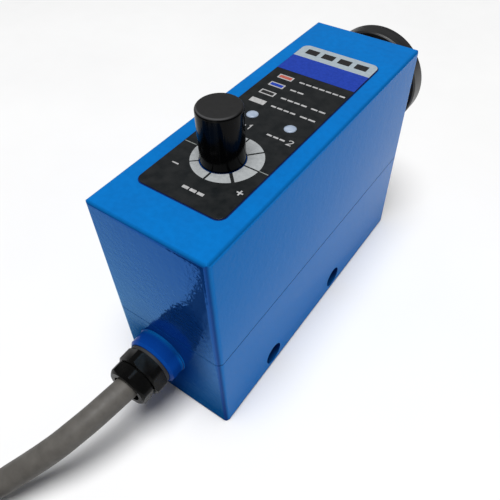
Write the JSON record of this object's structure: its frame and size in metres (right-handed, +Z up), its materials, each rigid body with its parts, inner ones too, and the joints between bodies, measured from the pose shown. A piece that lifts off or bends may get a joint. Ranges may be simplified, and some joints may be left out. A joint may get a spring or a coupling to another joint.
{
  "type": "photoelectric mark sensor",
  "caption": "Boxy painted metal photoelectric sensor with a round lens barrel on one end, a sensitivity knob on top and a gland with a tied cable on the other end.",
  "frame": {"origin": "centre of the housing's flat bottom face", "axes": "+Z up from the base, +Y along the housing towards the lens, +X across its width"},
  "size_m": [0.06, 0.265, 0.0754],
  "materials": {
    "housing_paint": "gloss enamel with a slight orange peel",
    "label_film": "printed polyester label, satin",
    "knob_plastic": "moulded, satin top",
    "gland_plastic": "moulded polyamide",
    "barrel_black": "black anodised, satin",
    "lens_glass": "polished, coated",
    "window_resin": "clear tinted resin",
    "rubber": "matt",
    "steel": "zinc plated",
    "brass": "plain",
    "board": "solder resist",
    "chip_black": "moulded epoxy",
    "inner_plastic": "moulded",
    "led_resin": "clear tinted resin",
    "cable_jacket": "grey PVC, satin",
    "wire_brown": "PVC insulation",
    "wire_blue": "PVC insulation",
    "wire_black": "PVC insulation",
    "wire_white": "PVC insulation"
  },
  "bodies": {
    "housing": {"upper_housing": "housing_paint", "lower_housing": "housing_paint", "housing_gasket": "rubber", "housing_screws": "steel", "face_label": "label_film", "output_window_1": "window_resin", "output_window_2": "window_resin", "output_led_1": "led_resin", "output_led_2": "led_resin", "indicator_board": "board", "adjuster_case": "inner_plastic", "adjuster_track": "chip_black", "adjuster_pins": "brass", "shaft_seal": "rubber", "seal_retainer": "steel", "lens_barrel": "barrel_black", "lens_ring": "barrel_black", "front_lens": "lens_glass", "lens_seal": "rubber", "relay_lens": "lens_glass", "lens_spacer": "barrel_black", "optics_block": "gland_plastic", "beam_splitter": "lens_glass", "emitter_led": "led_resin", "emitter_board": "board", "aperture_plate": "steel", "receiver_photodiode": "chip_black", "main_board": "board", "power_board": "board", "board_spacers": "brass", "board_screws": "steel", "signal_chip": "chip_black", "driver_chip": "chip_black", "output_transistors": "chip_black", "capacitors": "inner_plastic", "terminal_block": "board", "wire_brown": "wire_brown", "wire_blue": "wire_blue", "wire_black": "wire_black", "wire_white": "wire_white", "gland_body": "gland_plastic", "gland_seal": "rubber", "gland_bush": "rubber", "gland_nut": "gland_plastic", "cable_entry": "cable_jacket", "cord_run": "cable_jacket", "cord_hank": "cable_jacket", "cord_tail": "cable_jacket", "lead_brown": "wire_brown", "lead_blue": "wire_blue", "lead_black": "wire_black", "lead_white": "wire_white", "lead_ferrules": "steel"},
    "knob": {"adjuster_knob": "knob_plastic", "adjuster_shaft": "steel", "adjuster_wiper": "brass"}
  },
  "joints": [
    {"name": "knob_turn", "type": "hinge", "parent": "housing", "child": "knob", "pos_m": [0, -0.02, 0.0625], "axis": [0, 0, 1], "range_deg": [-135, 135]}
  ]
}
